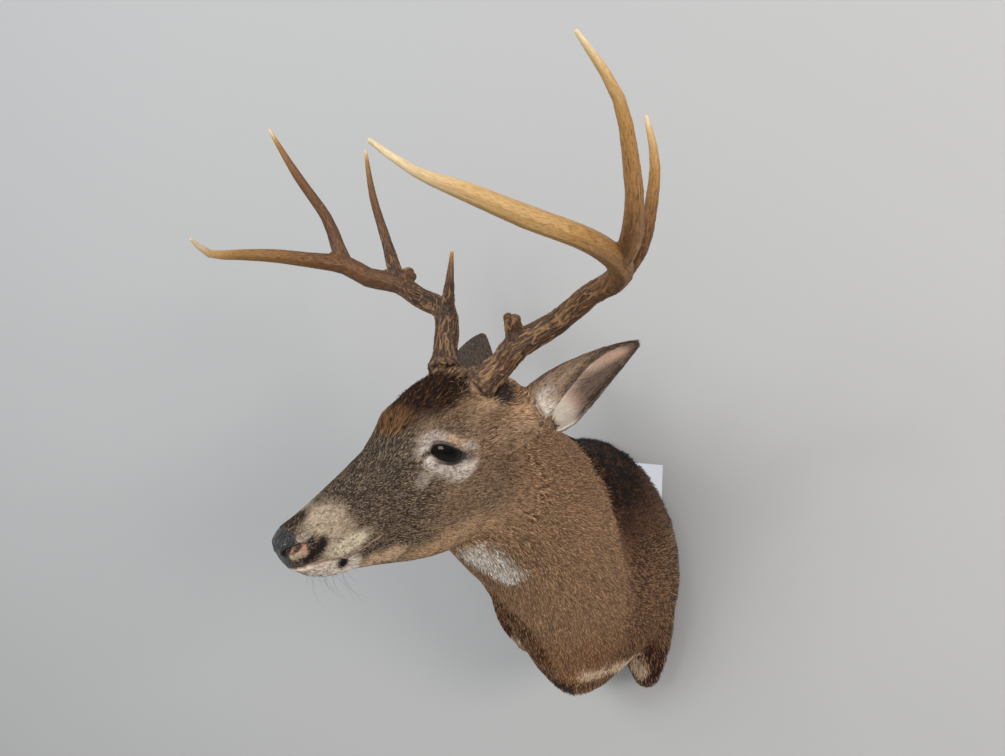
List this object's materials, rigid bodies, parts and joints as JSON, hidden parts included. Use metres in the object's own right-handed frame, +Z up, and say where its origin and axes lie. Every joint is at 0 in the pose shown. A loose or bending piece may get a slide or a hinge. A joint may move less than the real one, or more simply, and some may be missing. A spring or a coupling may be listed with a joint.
{
  "type": "deer shoulder mount",
  "caption": "Wall-hung whitetail buck shoulder mount: turned head, eight-point antlers with one broken brow tine, glass eyes, neck and chest over a hidden wooden back board",
  "frame": {"origin": "middle of the back board's rear face, the face that lies on the wall", "axes": "+X to the deer's left, +Y into the wall, +Z up"},
  "size_m": [0.5554, 0.8029, 0.9171],
  "materials": {
    "face_hair": "short tanned hide hair, grey-brown agouti",
    "body_hair": "tanned hide with winter hair, warm grey-brown",
    "ear_hair": "short hair over a thin ear liner, white inside",
    "nose_leather": "painted nose skin, semi-gloss",
    "glass_eye": "polished dark glass",
    "antler": "natural antler bone, brown with ivory tips",
    "plywood": "bare plywood",
    "zinc_steel": "zinc-plated steel"
  },
  "bodies": {
    "root": {"head": "face_hair", "lower_jaw": "face_hair", "nose_pad": "nose_leather", "neck": "body_hair", "shoulders": "body_hair", "brisket": "body_hair", "leg_stub_left": "body_hair", "leg_stub_right": "body_hair", "ear_left": "ear_hair", "ear_right": "ear_hair", "eye_left": "glass_eye", "eye_right": "glass_eye", "antler_left_base": "antler", "antler_left_lower_beam": "antler", "antler_left_upper_beam": "antler", "antler_left_beam_tip": "antler", "antler_left_brow_tine": "antler", "antler_left_g2_tine": "antler", "antler_left_g3_tine": "antler", "antler_right_base": "antler", "antler_right_lower_beam": "antler", "antler_right_upper_beam": "antler", "antler_right_beam_tip": "antler", "antler_right_brow_tine": "antler", "antler_right_g2_tine": "antler", "antler_right_g3_tine": "antler", "back_board": "plywood", "hanger_plate": "zinc_steel"}
  },
  "joints": []
}
